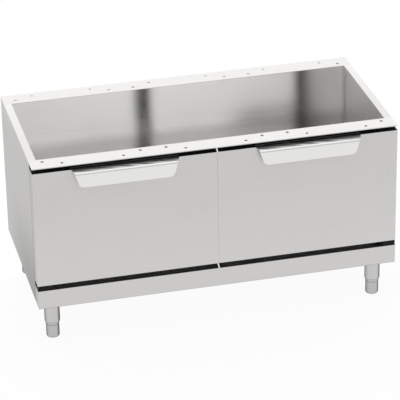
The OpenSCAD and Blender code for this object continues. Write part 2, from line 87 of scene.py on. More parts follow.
class NodeSheet:
    # a short way to add nodes to one tree and wire them
    def __init__(self, tree):
        self.tree = tree

    def add(self, kind, inputs=None, **settings):
        node = self.tree.nodes.new(kind)
        for key, value in settings.items():
            setattr(node, key, value)
        for key, value in (inputs or {}).items():
            if isinstance(value, bpy.types.NodeSocket):
                self.tree.links.new(value, node.inputs[key])
            else:
                node.inputs[key].default_value = value
        return node

    def maths(self, operation, a, b=0.5, c=0.5, clamp=False):
        return self.add("ShaderNodeMath", {0: a, 1: b, 2: c}, operation=operation, use_clamp=clamp).outputs[0]

    def vectorMaths(self, operation, a, b=(0, 0, 0)):
        node = self.add("ShaderNodeVectorMath", {0: a, 1: b}, operation=operation)
        return node.outputs["Value" if operation in ("DOT_PRODUCT", "LENGTH") else "Vector"]

    def ramp(self, value, low, high, toLow=0.0, toHigh=1.0, curve="LINEAR"):
        names = ("Value", "From Min", "From Max", "To Min", "To Max")
        return self.add("ShaderNodeMapRange", dict(zip(names, (value, low, high, toLow, toHigh))),
                        interpolation_type=curve).outputs[0]

    def noise(self, vector, scale, detail=2.0, roughness=0.5):
        return self.add("ShaderNodeTexNoise", {"Vector": vector, "Scale": scale, "Detail": detail,
                                               "Roughness": roughness}).outputs["Fac"]


def newGroup(name, inputs, outputs):
    # inputs and outputs are {name: (socket type, default)} and {name: socket type}
    tree = bpy.data.node_groups.new(name, "ShaderNodeTree")
    for socketName, (kind, default) in inputs.items():
        socket = tree.interface.new_socket(name=socketName, in_out="INPUT", socket_type=kind)
        socket.default_value = default
    for socketName, kind in outputs.items():
        tree.interface.new_socket(name=socketName, in_out="OUTPUT", socket_type=kind)
    sheet = NodeSheet(tree)
    return tree, sheet, sheet.add("NodeGroupInput").outputs, sheet.add("NodeGroupOutput").inputs


floatSocket, vectorSocket = "NodeSocketFloat", "NodeSocketVector"
grainSet = {"coarse": (0.5, 0.5, 0.14), "patches": 2.6, "roughSwing": 0.22}  # shares of the scale, per metre


def brushedGrain(s):
    # long fine scratches: noise squeezed by Scale, in cycles per metre, plus slow patches from the rolling
    tree, sheet, given, result = newGroup(
        "brushed grain",
        {"Vector": (vectorSocket, (0, 0, 0)), "Scale": (vectorSocket, (10, 10, 900)),
         "Tone": (floatSocket, 0.04), "Patches": (floatSocket, 0.03)},
        {"Tone": floatSocket, "Roughness": floatSocket, "Height": floatSocket})
    squeezed = sheet.vectorMaths("MULTIPLY", given["Vector"], given["Scale"])
    fine = sheet.noise(squeezed, 1.0, 4.0, 0.65)
    coarse = sheet.noise(sheet.vectorMaths("MULTIPLY", squeezed, s["coarse"]), 1.0, 2.0)
    patches = sheet.noise(given["Vector"], s["patches"], 2.0, 0.6)
    fineTone = sheet.maths("MULTIPLY", sheet.maths("SUBTRACT", fine, 0.5), given["Tone"])
    coarseTone = sheet.maths("MULTIPLY", sheet.maths("SUBTRACT", coarse, 0.5), given["Tone"])
    patchTone = sheet.maths("MULTIPLY", sheet.maths("SUBTRACT", patches, 0.5), given["Patches"])
    summed = sheet.maths("ADD", sheet.maths("ADD", fineTone, coarseTone), patchTone)
    tree.links.new(sheet.maths("ADD", summed, 1.0), result["Tone"])
    swing = sheet.maths("MULTIPLY", sheet.maths("SUBTRACT", fine, 0.5), s["roughSwing"])
    tree.links.new(swing, result["Roughness"])
    tree.links.new(fine, result["Height"])
    return tree


edgeWearAndHighlightSet = {"samples": 6, "turned": (0.995, 0.9), "breaks": 60,
             "broken": (0.3, 0.62)}  # breaks per metre, and where each mask starts and is full


def edgeWearAndHighlight(s):
    # 1 along edges, where handling has polished the sheet and where a painted highlight lies: the rounded
    # normal leaves the flat one there
    tree, sheet, given, result = newGroup(
        "edge wear and highlight", {"Radius": (floatSocket, 0.001), "Vector": (vectorSocket, (0, 0, 0))},
        {"Mask": floatSocket})
    rounded = sheet.add("ShaderNodeBevel", {"Radius": given["Radius"]}, samples=s["samples"]).outputs[0]
    flat = sheet.add("ShaderNodeNewGeometry").outputs["Normal"]
    turned = sheet.ramp(sheet.vectorMaths("DOT_PRODUCT", rounded, flat), *s["turned"])
    broken = sheet.ramp(sheet.noise(given["Vector"], s["breaks"], 3.0), *s["broken"])
    tree.links.new(sheet.maths("MULTIPLY", turned, broken), result["Mask"])
    return tree


marksSet = {"island": (0.55, 0.75), "smears": 120, "smear": (0.3, 0.7), "specks": 700, "speck": (0.5, 0.8),
            "upward": (0.3, 0.9)}  # smears and specks per metre, and where each mask starts and is full


def handling(s):
    # faint smears and finger marks: broad noise cut to islands, with finer noise inside them
    tree, sheet, given, result = newGroup(
        "handling marks", {"Vector": (vectorSocket, (0, 0, 0)), "Size": (floatSocket, 9.0)},
        {"Mask": floatSocket, "Dust": floatSocket})
    islands = sheet.ramp(sheet.noise(given["Vector"], given["Size"], 3.0), *s["island"])
    inner = sheet.ramp(sheet.noise(given["Vector"], s["smears"], 3.0), *s["smear"])
    tree.links.new(sheet.maths("MULTIPLY", islands, inner), result["Mask"])
    facing = sheet.add("ShaderNodeSeparateXYZ", {0: sheet.add("ShaderNodeNewGeometry").outputs["Normal"]})
    specks = sheet.ramp(sheet.noise(given["Vector"], s["specks"], 2.0), *s["speck"])
    upward = sheet.ramp(facing.outputs["Z"], *s["upward"])
    tree.links.new(sheet.maths("MULTIPLY", specks, upward), result["Dust"])
    return tree


paintedFacingSet = {"Up": (0.4, 0.9), "Down": (-0.4, -0.9), "Inward": (0.4, 0.9), "Left": (-0.7, -1.0),
             "Right": (0.5, 0.9)}  # where each change starts and is full, as the normal's share


def paintedFacingLight(s):
    # painted light and shade: a face lighter or darker by the way it points in the piece's own frame: up,
    # down, left, right or inward
    tree, sheet, given, result = newGroup(
        "painted facing light", {"Vector": (vectorSocket, (0, 0, 0)), **{factor: (floatSocket, 1) for factor in s}},
        {"Level": floatSocket})
    axes = sheet.add("ShaderNodeTexCoord").outputs["Normal"]
    normal = sheet.add("ShaderNodeSeparateXYZ", {0: axes}).outputs
    side = sheet.maths("SIGN", sheet.add("ShaderNodeSeparateXYZ", {0: given["Vector"]}).outputs["X"])
    towards = sheet.maths("MULTIPLY", sheet.maths("MULTIPLY", side, normal["X"]), -1.0)
    turned = {"Up": normal["Z"], "Down": normal["Z"], "Inward": towards, "Left": normal["X"],
              "Right": normal["X"]}
    level = 1.0
    for factor, (start, full) in s.items():
        share = sheet.ramp(turned[factor], start, full)
        change = sheet.maths("MULTIPLY", share, sheet.maths("SUBTRACT", given[factor], 1.0))
        level = sheet.maths("ADD", level, change)
    tree.links.new(level, result["Level"])
    return tree


def paintedLightField():
    # painted light or shade: a slow change of tone, 1 outside the ellipsoid round Centre, 1 plus Depth inside
    # its inner part, on faces that point along Facing, or on every face where Facing is zero
    tree, sheet, given, result = newGroup(
        "painted light field",
        {"Vector": (vectorSocket, (0, 0, 0)), "Centre": (vectorSocket, (0, 0, 0)),
         "Reach": (vectorSocket, (1, 1, 1)), "Inner": (floatSocket, 0), "Depth": (floatSocket, 0),
         "Facing": (vectorSocket, (0, 0, 0))},
        {"Level": floatSocket})
    placed = sheet.vectorMaths("DIVIDE", sheet.vectorMaths("SUBTRACT", given["Vector"], given["Centre"]),
                               given["Reach"])
    share = sheet.ramp(sheet.vectorMaths("LENGTH", placed), given["Inner"], 1.0, 1.0, 0.0, "SMOOTHSTEP")
    normal = sheet.add("ShaderNodeTexCoord").outputs["Normal"]
    turned = sheet.maths("ADD", sheet.vectorMaths("DOT_PRODUCT", normal, given["Facing"]),
                         sheet.maths("SUBTRACT", 1.0, sheet.vectorMaths("LENGTH", given["Facing"])))
    share = sheet.maths("MULTIPLY", share, sheet.ramp(turned, 0.4, 0.9))
    tree.links.new(sheet.maths("ADD", sheet.maths("MULTIPLY", share, given["Depth"]), 1.0), result["Level"])
    return tree


groups = {"grain": brushedGrain(grainSet), "edge": edgeWearAndHighlight(edgeWearAndHighlightSet), "marks": handling(marksSet),
          "facing": paintedFacingLight(paintedFacingSet), "field": paintedLightField()}

print("stage: materials")


def newMaterial(name):
    material = bpy.data.materials.new(name)
    material.use_nodes = True
    material.node_tree.nodes.clear()
    sheet = NodeSheet(material.node_tree)
    shader = sheet.add("ShaderNodeBsdfPrincipled")
    sheet.add("ShaderNodeOutputMaterial", {"Surface": shader.outputs[0]})
    vector = sheet.add("ShaderNodeTexCoord").outputs["Object"]
    return material, sheet, shader, vector


def groupNode(sheet, name, **inputs):
    return sheet.add("ShaderNodeGroup", inputs, node_tree=groups[name]).outputs


def tinted(sheet, color, factor):
    # colour times a value that changes over the surface
    return sheet.add("ShaderNodeVectorMath", {0: (*color,), "Scale": factor}, operation="SCALE").outputs[0]


steelSet = {"patches": 0.03, "smears": 0.05, "smearTone": 0.5, "dust": 0.03, "edgeTone": 0.075,
            "edgeRough": 0.08, "scratch": 0.01, "bump": 0.6}  # shares of the tone, scratch depth in mm


def steel(name, color, roughness, spread, grain, across, tone=0.05, edge=0.8, metal=1.0, grazing=1.0,
          fields=(), **facings):
    # brushed stainless: the grain sets tone and roughness, and the highlight spreads across the scratches
    s = steelSet
    material, sheet, shader, vector = newMaterial(name)
    brushed = groupNode(sheet, "grain", Vector=vector, Scale=grain, Tone=tone, Patches=s["patches"])
    mark = groupNode(sheet, "marks", Vector=vector)
    wearAndHighlight = groupNode(sheet, "edge", Vector=vector, Radius=edge * mm)
    smeared = sheet.maths("MULTIPLY", mark["Mask"], s["smears"])
    dusty = sheet.maths("MULTIPLY", mark["Dust"], s["dust"])
    level = sheet.maths("SUBTRACT", brushed["Tone"], sheet.maths("MULTIPLY", smeared, s["smearTone"]))
    # edges lighter: partly polished wear, partly a painted highlight
    level = sheet.maths("ADD", level, sheet.maths("MULTIPLY", wearAndHighlight["Mask"], s["edgeTone"]))
    level = sheet.maths("SUBTRACT", level, dusty)
    # painted light and shade by the way each face points
    if facings:
        level = sheet.maths("MULTIPLY", level, groupNode(sheet, "facing", Vector=vector, **facings)["Level"])
    # painted light and shade fields
    for centre, reach, inner, depth, facing in fields:
        field = groupNode(sheet, "field", Vector=vector, Centre=centre, Reach=reach, Inner=inner, Depth=depth,
                          Facing=facing)
        level = sheet.maths("MULTIPLY", level, field["Level"])
    sheet.tree.links.new(tinted(sheet, color, level), shader.inputs["Base Color"])
    rough = sheet.maths("ADD", sheet.maths("ADD", brushed["Roughness"], roughness), smeared)
    polished = sheet.maths("MULTIPLY", wearAndHighlight["Mask"], s["edgeRough"])
    sheet.tree.links.new(sheet.maths("SUBTRACT", rough, polished, clamp=True), shader.inputs["Roughness"])
    bump = sheet.add("ShaderNodeBump", {"Height": brushed["Height"], "Distance": s["scratch"] * mm,
                                        "Strength": s["bump"]})
    sheet.tree.links.new(bump.outputs[0], shader.inputs["Normal"])
    tangent = sheet.add("ShaderNodeCombineXYZ", dict(enumerate(across))).outputs[0]
    sheet.tree.links.new(tangent, shader.inputs["Tangent"])
    shader.inputs["Metallic"].default_value = metal
    shader.inputs["Specular Tint"].default_value = (grazing, grazing, grazing, 1)
    shader.inputs["Anisotropic"].default_value = spread
    return material


darkSet = {"dustSize": 20, "dust": 0.8, "pebbles": (0.8, 1.2), "swing": 0.08, "bump": 0.5, "shine": 0.12}


def dark(name, color, roughness, pebbles, depth):
    # moulded plastic or rubber: fine pebbled texture, a little dust on top
    s = darkSet
    material, sheet, shader, vector = newMaterial(name)
    pebble = sheet.noise(vector, pebbles, 3.0, 0.6)
    mark = groupNode(sheet, "marks", Vector=vector, Size=s["dustSize"])
    level = sheet.maths("ADD", sheet.maths("MULTIPLY", mark["Dust"], s["dust"]),
                        sheet.ramp(pebble, 0, 1, *s["pebbles"]))
    sheet.tree.links.new(tinted(sheet, color, level), shader.inputs["Base Color"])
    rough = sheet.ramp(pebble, 0, 1, roughness - s["swing"], roughness + s["swing"])
    sheet.tree.links.new(rough, shader.inputs["Roughness"])
    bump = sheet.add("ShaderNodeBump", {"Height": pebble, "Distance": depth * mm, "Strength": s["bump"]})
    sheet.tree.links.new(bump.outputs[0], shader.inputs["Normal"])
    shader.inputs["Specular IOR Level"].default_value = s["shine"]
    return material


paperSet = {"color": (0.62, 0.50, 0.34), "cells": 90, "wall": (0.02, 0.08, 1.0, 0.45), "fibres": 900,
            "fibre": (0.85, 1.15), "roughness": (0.8, 0.95)}  # cells and fibres per metre


def honeycombPaper(name, s):
    # kraft paper cells seen on the core's cut faces
    material, sheet, shader, vector = newMaterial(name)
    cells = sheet.add("ShaderNodeTexVoronoi", {"Vector": vector, "Scale": s["cells"]},
                      feature="DISTANCE_TO_EDGE").outputs["Distance"]
    walls = sheet.ramp(cells, *s["wall"])
    fibres = sheet.ramp(sheet.noise(vector, s["fibres"], 3.0), 0, 1, *s["fibre"])
    level = sheet.maths("MULTIPLY", walls, fibres)
    sheet.tree.links.new(tinted(sheet, s["color"], level), shader.inputs["Base Color"])
    rough = sheet.ramp(fibres, *s["fibre"], *s["roughness"])
    sheet.tree.links.new(rough, shader.inputs["Roughness"])
    return material


# grain in cycles per metre: slow along the scratches and fast across them
alongX, alongY, alongLeg = (7, 1100, 1100), (1100, 7, 1100), (1100, 1100, 14)
roundFoot, evenGrain = (14, 14, 1400), (300, 300, 300)
acrossUp, acrossFlat, acrossDeep = (0, 0, 1), (0, 0.8, 0.6), (0, 1, 0)
# painted light and shade fields, each lightening or darkening the colour where light or shade falls: the
# centre and reach in metres, the share of the reach that has the full change, the change, and the way that
# the changed faces point, where zero means all of them
endX, wide = 0.6, 50  # the cabinet's ends, and the reach in a direction along which a field doesn't change
doorFace, sideFront, linerFace, upstandFace, backFace = -0.2764, -0.2264, -0.2316, -0.2249, 0.27
anyWay, forward, rearward = (0, 0, 0), (0, -1, 0), (0, 1, 0)
# painted light: the doors lighter towards the bottom
lowerDoorLight = ((0, 0, 0.14), (wide, wide, 0.50), 0.0, 0.07, anyWay)
# painted highlight: the doors lighter within a few mm of the seam
seamHighlight = ((0, doorFace, 0), (0.0024, wide, wide), 0.5, 0.20, anyWay)
# painted shade: a dark line along the plinth's lower edge
plinthEdgeShade = ((0, doorFace, 0.1445), (wide, wide, 0.0030), 0.0, -0.55, anyWay)
# painted shade: the side panels darker towards the lower front
sideShade = ((0, -0.24, 0.13), (wide, 0.62, 0.36), 0.0, -0.45, anyWay)
# painted light: the side panels lighter towards the upper rear
sideTopLight = ((0, 0.40, 0.68), (wide, 0.60, 0.17), 0.0, 0.16, anyWay)
# painted shade: a dark line along the side panels' front edge, beside the gap to the doors
sideLineShade = ((0, sideFront, 0.40), (wide, 0.005, 1.0), 0.0, -0.30, anyWay)
# painted shade: that line darker low down
sideGapShade = ((0, sideFront, 0.20), (wide, 0.007, 0.22), 0.0, -0.60, anyWay)
# painted shade: dark lines down the back panel's corners
cornerShadeLines = [((x, backFace, 0), (0.018, wide, wide), 0.3, -0.22, anyWay) for x in (-endX, endX)]
# painted shade: the back panel's inner face darker low down, where it mirrors the dark floor
innerLowShade = ((0, 0, 0.20), (wide, wide, 0.272), 0.82, -0.27, forward)
# painted shade: faces that point rearward darker, taking back the pale tone that paints the inside light
innerRearShade = ((0, 0, 0), (wide, wide, wide), 0.9, -0.34, rearward)
# painted shade: a near black band on the door liners at the seam
linerSeamShade = ((-0.006, linerFace, 0), (0.048, wide, wide), 0.15, -0.94, anyWay)
# painted shade: near black bands on the door liners at the cabinet's ends
linerEndShades = [((x, linerFace, 0), (0.048, wide, wide), 0.15, -0.96, anyWay) for x in (-endX, endX)]
# painted reflection: dark bands on the upstand's rear face, so that the dark bands mirrored in the back panel
# run on
upstandReflectionBands = [((x, upstandFace, 0), (0.050, 0.05, wide), 0.2, -0.74, rearward) for x in (-endX, 0, endX)]
# painted shade: the top rail's faces in the gap above the doors near black
gapShade = ((0, -0.2464, 0.624), (wide, 0.023, 0.019), 0.3, -0.96, anyWay)
# painted shade: the handles darker along the crease below the bend
creaseShade = ((0, -0.298, 0.6174), (wide, 1.0, 0.0028), 0.0, -0.30, anyWay)
# painted highlight: the handles lighter along the bend
bendLight = ((0, -0.2975, 0.6228), (wide, 0.0035, 0.0024), 0.3, 0.22, anyWay)
# painted shade: the handles' rear tab near black
tabShade = ((0, -0.260, 0.6275), (wide, 0.0162, 0.01), 0.5, -0.93, anyWay)
# painted shade: the feet darker within 7 mm of the floor
footRimShade = ((0, 0, 0), (wide, wide, 0.007), 0.0, -0.5, anyWay)
steels = {
    # painted highlight: a wide lighter band along the door edges; the fields paint light and a seam highlight
    "door_steel": {"color": (0.590, 0.581, 0.571), "roughness": 0.40, "spread": 0.5, "grain": alongX,
                   "across": acrossUp, "edge": 2.0, "grazing": 0.7, "fields": (lowerDoorLight, seamHighlight)},
    # painted shade: the plinth's upward faces at 0.3 of the tone; a painted highlight along its edges
    "plinth_steel": {"color": (0.62, 0.61, 0.60), "roughness": 0.40, "spread": 0.5, "grain": alongX,
                     "across": acrossFlat, "edge": 2.0, "grazing": 0.7, "Up": 0.3, "fields": (plinthEdgeShade,)},
    # painted light: upward faces 1.5 and inward faces 1.2 times lighter; the fields paint shade and light on
    # the side panels
    "carcass_steel": {"color": (0.60, 0.592, 0.582), "roughness": 0.38, "spread": 0.4, "grain": alongY,
                      "across": acrossUp, "grazing": 0.75, "Up": 1.50, "Inward": 1.20,
                      "fields": (sideShade, sideTopLight, sideLineShade, sideGapShade)},
    # painted light: the inner sheets near white, standing for the light that fills the open top
    "inner_steel": {"color": (0.97, 0.965, 0.955), "roughness": 0.14, "spread": 0.75, "grain": alongX,
                    "across": acrossUp, "fields": (*cornerShadeLines, innerLowShade, innerRearShade)},
    # painted light: the door liners pale and matt, standing for the light inside
    "liner_steel": {"color": (0.88, 0.875, 0.865), "roughness": 0.55, "spread": 0.8, "grain": alongX,
                    "across": acrossUp, "metal": 0.0, "fields": (linerSeamShade, *linerEndShades)},
    # painted light: the floor pan near white, standing for the light inside
    "floor_steel": {"color": (0.95, 0.94, 0.93), "roughness": 0.14, "spread": 0.7, "grain": alongX,
                    "across": acrossDeep, "fields": upstandReflectionBands},
    # painted light and shade: upward faces 1.58 times lighter, downward ones at 0.4 of the tone
    "flange_steel": {"color": (0.58, 0.573, 0.563), "roughness": 0.38, "spread": 0.4, "grain": alongX,
                     "across": acrossFlat, "tone": 0.03, "fields": (gapShade,), "Up": 1.58, "Down": 0.4},
    "handle_steel": {"color": (0.78, 0.775, 0.765), "roughness": 0.30, "spread": 0.3, "grain": alongX,
                     "across": acrossFlat, "fields": (creaseShade, bendLight, tabShade)},
    # painted light and shade: faces that point left at 0.75 and right at 0.12 of the tone
    "leg_steel": {"color": (0.57, 0.56, 0.55), "roughness": 0.24, "spread": 0.4, "grain": alongLeg,
                  "across": acrossUp, "grazing": 0.35, "Left": 0.75, "Right": 0.12},
    # painted light and shade: faces that point left at 0.7 and right at 0.15 of the tone
    "foot_steel": {"color": (0.50, 0.49, 0.48), "roughness": 0.28, "spread": 0.4, "grain": roundFoot,
                   "across": acrossUp, "grazing": 0.35, "fields": (footRimShade,), "Left": 0.7, "Right": 0.15},
    "fastener_steel": {"color": (0.28, 0.28, 0.28), "roughness": 0.35, "spread": 0.0, "grain": evenGrain,
                       "across": acrossUp},
}
darks = {
    "black_hardware": {"color": (0.012, 0.012, 0.012), "roughness": 0.45, "pebbles": 500, "depth": 0.02},
    "black_plastic": {"color": (0.010, 0.010, 0.010), "roughness": 0.60, "pebbles": 900, "depth": 0.03},
    "seal_rubber": {"color": (0.010, 0.010, 0.010), "roughness": 0.75, "pebbles": 1500, "depth": 0.02},
}  # pebbles per metre, depth in mm
finishes = {name: steel(name, **values) for name, values in steels.items()}
finishes.update((name, dark(name, **values)) for name, values in darks.items())
finishes["honeycomb"] = honeycombPaper("honeycomb", paperSet)
slotOfNode = {entry["node"]: entry["material_slot"] for entry in frame["record"]["subparts"]}
bodies = frame["record"]["behaviour"]["bodies"]
bodyOfNode = {node: body for body, members in bodies.items() for node in members}
for name, piece in nodes.items():
    for materialSlot in piece.material_slots:
        materialSlot.material = finishes[slotOfNode[name]]

print("stage: softened sheet edges")


def finishPiece(piece, node, replaces=True):
    # the piece takes a CAD node's body and finish, and mostly stands for it
    piece.data.materials.clear()
    piece.data.materials.append(finishes[slotOfNode[node]])
    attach(piece, bodyOfNode[node])
    if replaces:
        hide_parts(node)
    return piece


softSet = {"merge": 1e-6, "flat": 0.5, "sharp": 35, "segments": 2}  # metres, then degrees


def softened(node, width, s):
    # the node's own shape, its triangles merged to whole faces and every edge broken by a small round
    sharp = math.radians(s["sharp"])
    mesh = bpy.data.meshes.new(node + "_skin")
    work = bmesh.new()
    work.from_mesh(nodes[node].data)
    bmesh.ops.remove_doubles(work, verts=work.verts, dist=s["merge"])
    bmesh.ops.dissolve_limit(work, angle_limit=math.radians(s["flat"]), verts=work.verts, edges=work.edges)
    for face in work.faces:
        face.smooth = True
    for border in work.edges:
        border.smooth = len(border.link_faces) == 2 and border.calc_face_angle(0) < sharp
    work.to_mesh(mesh)
    work.free()
    piece = bpy.data.objects.new(node + "_skin", mesh)
    scene.collection.objects.link(piece)
    rounding = piece.modifiers.new("edge", "BEVEL")
    rounding.width = width
    rounding.segments = s["segments"]
    rounding.limit_method = "ANGLE"
    rounding.angle_limit = sharp
    rounding.harden_normals = True
    return finishPiece(piece, node)


edgeRound = {"side_panel": 0.45, "back_panel": 0.3, "bottom_panel": 0.4, "floor_channel": 0.4, "plinth": 0.5,
             "rear_apron": 0.4, "top_rail_front": 0.45, "top_rail_rear": 0.45, "splice_plates": 0.4,
             "hinge_bracket": 0.5, "hinge_block": 0.8, "catch": 0.6, "leg_plate": 0.4, "door_skin": 0.3,
             "door_liner": 0.2, "door_top_cap": 0.3, "door_bottom_cap": 0.3, "door_seals": 0.5,
             "striker": 0.4, "leg_bolts": 0.5}  # mm, for each kind of piece
for name in sorted(nodes):
    kind = next((key for key in edgeRound if name == key or name.startswith(key + "_")), None)
    if kind:
        softened(name, edgeRound[kind] * mm, softSet)

print("stage: handles")
handleShape = {"mid": 300.4, "top": 627.5, "face": 276.424, "tab": 18, "reach": 22, "bend": 4, "lean": 6,
               "apron": 47.0, "widths": (349, 336, 303), "corner": 9, "cornerShare": 0.92, "sheet": 1.5,
               "crease": 0.9, "creaseAt": 2.6, "creaseWidth": 0.8, "creaseZone": (0.5, 5.5),
               "ends": 8.5, "endsBack": 2.2, "sink": 3.4, "sinkPower": 1.2, "faceRoom": 0.6,
               "stripFrom": 2.5, "apronFrom": 7, "cornerFrom": 0.12,
               "ripple": 0.26, "rippleFrom": 5, "rippleLength": 2.3, "slant": 0.19, "drift": (1.4, 61),
               "swell": (0.35, 37, 0.8), "across": 120, "crowding": 1.25,
               "rows": (24, 11, 18, 12, 10)}  # mm, degrees


def gridSurface(name, x, y, z, ring=False):
    # a surface from three arrays of one shape in mm: rows run up its outside and columns to the right;
    # a ring's last column joins its first, and its last row its first
    rows, columns = x.shape
    points = np.stack((x, y, z), axis=-1).reshape(-1, 3) * mm
    index = np.arange(rows * columns).reshape(rows, columns)
    if ring:
        index = np.concatenate((index, index[:1]))
        index = np.concatenate((index, index[:, :1]), axis=1)
    quads = np.stack((index[:-1, :-1], index[:-1, 1:], index[1:, 1:], index[1:, :-1]), axis=-1).reshape(-1, 4)
    mesh = bpy.data.meshes.new(name)
    mesh.from_pydata(points.tolist(), [], quads.tolist())
    mesh.shade_smooth()
    piece = bpy.data.objects.new(name, mesh)
    scene.collection.objects.link(piece)
    return piece


def smoothStep(t):
    t = np.clip(t, 0, 1)
    return t * t * (3 - 2 * t)


def handleSheet(side, s):
    # the side view is a line: back along the strip, a quarter round, then the apron leaning forward;
    # its half width runs from the tab's to the bend's to the lower edge's, and the lowest rows draw in
    # along a quarter circle for the corners; a narrow dip below the bend makes the crease
    stripRows, bendRows, creaseRows, apronRows, cornerRows = s["rows"]
    lean = math.radians(s["lean"])
    flat = s["reach"] - s["bend"]
    back = np.array([s["tab"], s["tab"] / 2, s["faceRoom"], -s["faceRoom"]])
    strip = -np.linspace(s["stripFrom"], flat, stripRows)
    flatY = np.concatenate((back, strip)) - s["face"]
    flatZ = np.full(flatY.shape, s["top"])
    turn = np.linspace(math.pi / 2, math.pi - lean, bendRows + 1)[1:]
    centreY, centreZ = -s["face"] - s["reach"] + s["bend"], s["top"] - s["bend"]
    bendY, bendZ = centreY + s["bend"] * np.cos(turn), centreZ + s["bend"] * np.sin(turn)
    straight = s["apron"] - s["corner"]
    quarter = np.linspace(s["cornerFrom"], 1, cornerRows) * math.pi / 2
    fall = np.concatenate((np.linspace(*s["creaseZone"], creaseRows),
                           np.linspace(s["apronFrom"], straight, apronRows),
                           straight + s["corner"] * np.sin(quarter)))
    dip = s["crease"] * np.exp(-((fall - s["creaseAt"]) / s["creaseWidth"]) ** 2)
    apronY = bendY[-1] - fall * math.sin(lean) + dip * math.cos(lean)
    apronZ = bendZ[-1] - fall * math.cos(lean) - dip * math.sin(lean)
    y, z = np.concatenate((flatY, bendY, apronY)), np.concatenate((flatZ, bendZ, apronZ))
    tabHalf, frontHalf, lowHalf = (w / 2 for w in s["widths"])
    upperHalf = np.interp(-flatY - s["face"], (-s["tab"], 0, flat), (tabHalf, tabHalf, frontHalf))
    slope = (frontHalf - lowHalf) / s["apron"]
    into = np.clip(fall - straight, 0, s["corner"])
    drawn = (s["corner"] - np.sqrt(s["corner"] ** 2 - into ** 2)) * s["cornerShare"]
    half = np.concatenate((upperHalf, np.full(bendY.shape, frontHalf), frontHalf - slope * fall - drawn))
    across = np.linspace(-1, 1, s["across"])
    across = np.sign(across) * (1 - (1 - np.abs(across)) ** s["crowding"])
    x = half[:, None] * across[None, :]
    fromEnd = half[:, None] * (1 - np.abs(across))[None, :]
    frontRows = bendY.size + fall.size
    along = np.concatenate((np.zeros(flatY.shape), smoothStep(np.linspace(0, 1, bendY.size)),
                            np.ones(fall.shape)))
    folded = s["endsBack"] * smoothStep(1 - fromEnd / s["ends"]) * along[:, None]
    # the strip sinks a little towards the bend and carries long shallow waves that run slantwise along it,
    # drawn out by a drift along the strip and made stronger and weaker by a slow swell
    outward = np.concatenate((-flatY - s["face"], np.full(frontRows, flat)))
    sink = s["sink"] * np.clip(outward / flat, 0, 1) ** s["sinkPower"]
    onStrip = np.concatenate((np.ones(flatY.size), np.zeros(frontRows)))
    inStrip = smoothStep(outward / s["rippleFrom"]) * onStrip
    (driftHeight, driftLength), (swellHeight, swellLength, swellStart) = s["drift"], s["swell"]
    swell = 1 - swellHeight + swellHeight * np.sin(x / swellLength + swellStart)
    phase = (s["slant"] * x + y[:, None]) / s["rippleLength"] + driftHeight * np.sin(x / driftLength)
    dropped = s["ripple"] * (1 + np.sin(phase) * swell) * inStrip[:, None] + sink[:, None]
    centre = -s["mid"] if side == "left" else s["mid"]
    places = (x + centre, y[:, None] + folded, z[:, None] - dropped)
    piece = gridSurface("handle_sheet_" + side, *(np.broadcast_to(v, x.shape)[::-1] for v in places))
    wall = piece.modifiers.new("wall", "SOLIDIFY")
    wall.thickness, wall.offset, wall.use_even_offset = s["sheet"] * mm, -1, True
    return finishPiece(piece, "handle_" + side)


for side in sides:
    handleSheet(side, handleShape)

print("stage: seam, stops and hole shade strips")


def extruded(outline, start, end, steps=2):
    # an outline of (x, y) points in mm that runs anticlockwise seen from above, carried up from start to end,
    # closed by rows that shrink to its middle
    outline = np.array(outline, float)
    middle = outline.mean(axis=0)
    heights = np.concatenate(([start, start], np.linspace(start, end, steps), [end, end]))
    shares = np.concatenate(([0.001, 0.999], np.ones(steps), [0.999, 0.001]))
    x = middle[0] + (outline[:, 0] - middle[0])[None, :] * shares[:, None]
    y = middle[1] + (outline[:, 1] - middle[1])[None, :] * shares[:, None]
    return x, y, np.broadcast_to(heights[:, None], x.shape)


tubeSet = {"merge": 1e-7, "sharp": 40}  # metres, degrees


def closedTube(name, x, y, z):
    # columns close on themselves, rows don't: the first column is repeated at the end and merged
    piece = gridSurface(name, *(np.concatenate((v, v[:, :1]), axis=1) for v in (x, y, z)))
    work = bmesh.new()
    work.from_mesh(piece.data)
    bmesh.ops.remove_doubles(work, verts=work.verts, dist=tubeSet["merge"])
    work.to_mesh(piece.data)
    work.free()
    piece.data.set_sharp_from_angle(angle=math.radians(tubeSet["sharp"]))
    return piece


beadShape = {"outer": 1.4, "inner": 0.22, "front": 276.41, "back": 270, "round": 0.2, "short": 0.3,
             "rows": 10, "turns": 5}  # mm


def seamBead(side, s):
    # the door's folded edge at the seam: a narrow bead whose inner front corner is a quarter round
    turn = np.linspace(0, math.pi / 2, s["turns"])
    soft = s["round"]
    x = np.concatenate(([s["outer"], s["outer"]], s["inner"] + soft * (1 - np.sin(turn)), [s["inner"]]))
    y = -np.concatenate(([s["back"], s["front"]], s["front"] - soft * (1 - np.cos(turn)), [s["back"]]))
    outline = np.stack((x, y), axis=1)
    outline = outline * (-1, 1) if side == "left" else outline[::-1]
    low, high = (corner.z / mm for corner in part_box("door_skin_" + side))
    bead = extruded(outline, low + s["short"], high - s["short"], s["rows"])
    piece = closedTube("seam_bead_" + side, *bead)
    return finishPiece(piece, "door_skin_" + side, replaces=False)


for side in sides:
    seamBead(side, beadShape)

stopShape = {"width": 4.6, "thick": 1.2, "front": 276.2, "lean": 0.25, "round": 0.3,
             "top": (643.6, 626.9), "low": (227.2, 209.2)}  # mm, and the lean as x over z


def seamStop(name, heights, s):
    # a thin tab in the gap above or below the doors at the seam, leaning to the left as it rises
    high, low = heights
    half, soft, front = s["width"] / 2, s["round"], -s["front"]
    back = front + s["thick"]
    x, y, z = extruded([(-half, back), (-half, front + soft), (soft - half, front), (half - soft, front),
                        (half, front + soft), (half, back)], low, high)
    piece = closedTube(name, x - (z - low) * s["lean"], y, z)
    piece.data.materials.append(finishes["handle_steel"])
    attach(piece, bodyOfNode["plinth"])


